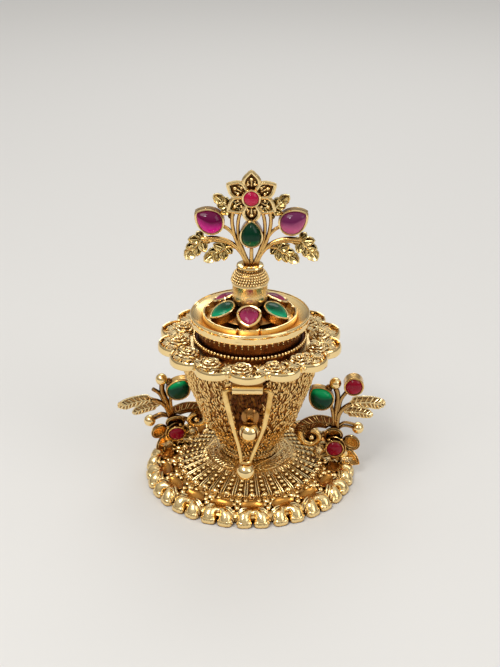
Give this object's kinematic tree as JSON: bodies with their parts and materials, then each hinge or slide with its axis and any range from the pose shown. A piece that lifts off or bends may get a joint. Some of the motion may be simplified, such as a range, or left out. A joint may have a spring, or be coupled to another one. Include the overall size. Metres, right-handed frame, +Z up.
{
  "type": "sindoor box",
  "caption": "Round footed pot for vermilion powder with a hinged lid, a loop latch over a knob, a small flowering tree as finial and gem-set floral sprays at the sides.",
  "frame": {"origin": "centre of the base's underside, where the box stands", "axes": "+Z up through the cup, the lid and the tree; -Y towards the front, where the latch is; +X towards the right-hand spray as the front is seen"},
  "size_m": [0.061, 0.0456, 0.07],
  "materials": {
    "gold_brass": "antique gold plate, bright on the high places and dark in the recesses",
    "dark_brass": "antique gold plate, darkened, with chased and filigree ornament",
    "red_glass": "polished deep red cabochon",
    "pink_glass": "polished pink cabochon",
    "green_glass": "polished deep green cabochon"
  },
  "bodies": {
    "root": {"base_rim": "gold_brass", "base_floor": "gold_brass", "base_plate": "dark_brass", "base_ray_wires": "dark_brass", "base_granules": "gold_brass", "cup_foot": "dark_brass", "cup_bowl": "dark_brass", "cup_rim": "gold_brass", "latch_knob": "gold_brass", "hinge_leaf_cup": "gold_brass", "hinge_pin": "gold_brass", "right_spray": "gold_brass", "right_spray_bezels": "gold_brass", "right_spray_balls": "gold_brass", "right_spray_green_stone": "green_glass", "right_spray_ruby_stones": "red_glass", "left_spray": "gold_brass", "left_spray_bezels": "gold_brass", "left_spray_balls": "gold_brass", "left_spray_green_stone": "green_glass", "left_spray_ruby_stones": "red_glass"},
    "lid": {"flange_plate": "gold_brass", "flange_band": "gold_brass", "flange_flowers": "dark_brass", "hinge_leaf_lid": "gold_brass", "lid_drum": "dark_brass", "beaded_ring": "gold_brass", "lid_rim": "gold_brass", "lid_tray": "dark_brass", "lid_fret": "gold_brass", "lid_bezels": "gold_brass", "lid_pink_gems": "pink_glass", "lid_green_gems": "green_glass", "pot_body": "gold_brass", "pot_lip": "gold_brass", "pot_granules": "gold_brass", "tree_stems": "gold_brass", "tree_leaves": "gold_brass", "tree_flower": "gold_brass", "tree_bezels": "gold_brass", "tree_green_stone": "green_glass", "tree_pink_stones": "pink_glass", "tree_ruby": "red_glass", "latch_tube": "gold_brass"},
    "latch": {"latch_loop": "gold_brass", "latch_tip_ball": "gold_brass"}
  },
  "joints": [
    {"name": "lid_hinge", "type": "hinge", "parent": "root", "child": "lid", "pos_m": [0, 0.0173, 0.0303], "axis": [-1, 0, 0], "range_deg": [0, 100]},
    {"name": "latch_swing", "type": "hinge", "parent": "lid", "child": "latch", "pos_m": [0, -0.017, 0.0294], "axis": [-1, 0, 0], "range_deg": [0, 115]}
  ]
}
